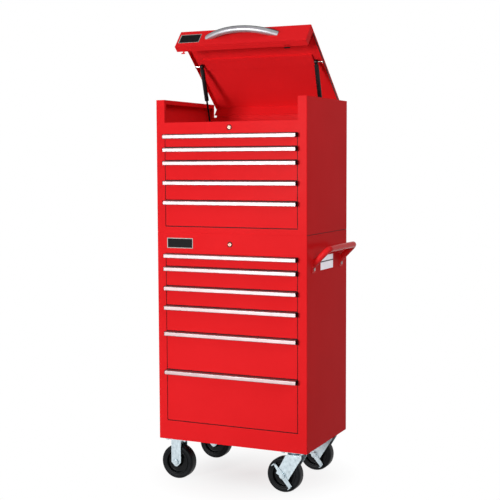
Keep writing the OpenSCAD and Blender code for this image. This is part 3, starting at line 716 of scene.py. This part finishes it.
# Studio.
studio = {
    "floorSize": 60,
    "floorSeen": 0.93,
    "floorBounce": 0.50,
    "nearRadius": -0.9,
    "farRadius": 0.45,
    "worldFill": 0.30,
    "overheadDrop": 0.70,
    "ceilingSeen": 0.45,
    "ceilingFrom": (0.12, 0.75),
    "lamps": {
        "keyLeft": {"at": (-1.7, -5.8, 1.5), "aim": (0, 0, 0.95), "size": 1.3, "power": 250},
        "fillRight": {"at": (3.0, -1.4, 3.0), "aim": (0, 0, 1.2), "size": 2.0, "power": 40},
        "topSoft": {"at": (0.2, 0.2, 5.6), "aim": (0, 0, 0.9), "size": 3.4, "power": 14},
        "backSoft": {"at": (-3.0, 5.0, 2.8), "aim": (0, 0, 0.9), "size": 3.0, "power": 120},
    },
}


def seenDirectly(maker):  # 1 for camera, glossy and transmission rays
    kinds = ("Camera", "Glossy", "Transmission")
    rays = [maker.node("ShaderNodeLightPath", out=f"Is {kind} Ray") for kind in kinds]
    return rays[0].sum("MAXIMUM", rays[1]).sum("MAXIMUM", rays[2])


def makeFloor():
    mesh = bmesh.new()
    bmesh.ops.create_grid(mesh, x_segments=1, y_segments=1, size=studio["floorSize"])
    data = bpy.data.meshes.new("floor")
    mesh.to_mesh(data)
    mesh.free()
    floor = bpy.data.objects.new("floor", data)
    bpy.context.scene.collection.objects.link(floor)
    finish = Finish("paleFloor", Roughness=1.0, Specular_IOR_Level=0.0)
    reach = finish.node("ShaderNodeVectorMath", {"operation": "LENGTH"}, {0: finish.place}, out="Value")
    fade = reach.above(studio["nearRadius"], studio["farRadius"])
    seen = seenDirectly(finish)
    pale, bounced = studio["floorSeen"], studio["floorBounce"]
    finish.feed("Base Color", finish.blend(seen, (bounced, bounced, bounced, 1), (pale, pale, pale, 1)))
    light = finish.node("ShaderNodeEmission", None, {"Color": (1, 1, 1, 1), "Strength": 1.0})
    plain = Wire(finish, finish.shader.outputs[0])
    mixed = finish.node("ShaderNodeMixShader", None, {0: fade * seen, 1: plain, 2: light})
    finish.tree.links.new(mixed.socket, finish.tree.nodes["Material Output"].inputs["Surface"])
    data.materials.append(finish.material)


def makeWorld():
    world = bpy.data.worlds.new("studioAir")
    world.use_nodes = True
    bpy.context.scene.world = world
    world.node_tree.nodes.clear()
    air = NodeMaker(world.node_tree)
    direction = air.node("ShaderNodeTexCoord", out="Generated")
    upward = air.node("ShaderNodeSeparateXYZ", None, {0: direction}, out="Z")
    glossy = air.node("ShaderNodeLightPath", out="Is Glossy Ray")
    shade = upward.above(*studio["ceilingFrom"]) * glossy * (1 - studio["ceilingSeen"])
    white = {"Color": (1, 1, 1, 1)}
    dimmed = (1 - upward.above(*studio["ceilingFrom"]) * studio["overheadDrop"]) * studio["worldFill"]
    fill = air.node("ShaderNodeBackground", None, {**white, "Strength": dimmed})
    bright = air.node("ShaderNodeBackground", None, {**white, "Strength": 1 - shade})
    mixed = air.node("ShaderNodeMixShader", None, {0: seenDirectly(air), 1: fill, 2: bright})
    air.node("ShaderNodeOutputWorld", None, {"Surface": mixed})


def makeLamps():
    for name, lamp in studio["lamps"].items():
        data = bpy.data.lights.new(name, "AREA")
        data.shape = "SQUARE"
        data.size = lamp["size"]
        data.energy = lamp["power"]
        lampObject = bpy.data.objects.new(name, data)
        lampObject.location = lamp["at"]
        aim = Vector(lamp["aim"]) - Vector(lamp["at"])
        lampObject.rotation_euler = aim.to_track_quat("-Z", "Y").to_euler()
        bpy.context.scene.collection.objects.link(lampObject)


view = {
    "at": (1.8971, -4.1476, 1.3172), "turn": 24.765, "down": 4.619, "roll": -0.238,
    "focal": 1096.71, "pixels": 500, "sensor": 36.0,
}


def makeCamera():
    data = bpy.data.cameras.new("camera")
    data.sensor_width = view["sensor"]
    data.lens = view["focal"] * view["sensor"] / view["pixels"]
    camera = bpy.data.objects.new("camera", data)
    camera.matrix_world = (
        Matrix.Translation(view["at"])
        @ Matrix.Rotation(radians(view["turn"]), 4, "Z")
        @ Matrix.Rotation(radians(90 - view["down"]), 4, "X")
        @ Matrix.Rotation(radians(view["roll"]), 4, "Z")
    )
    bpy.context.scene.collection.objects.link(camera)
    bpy.context.scene.camera = camera


makeFloor()
makeWorld()
makeLamps()
makeCamera()
bpy.context.scene.view_settings.view_transform = "Standard"
print("stage: studio and camera ready")
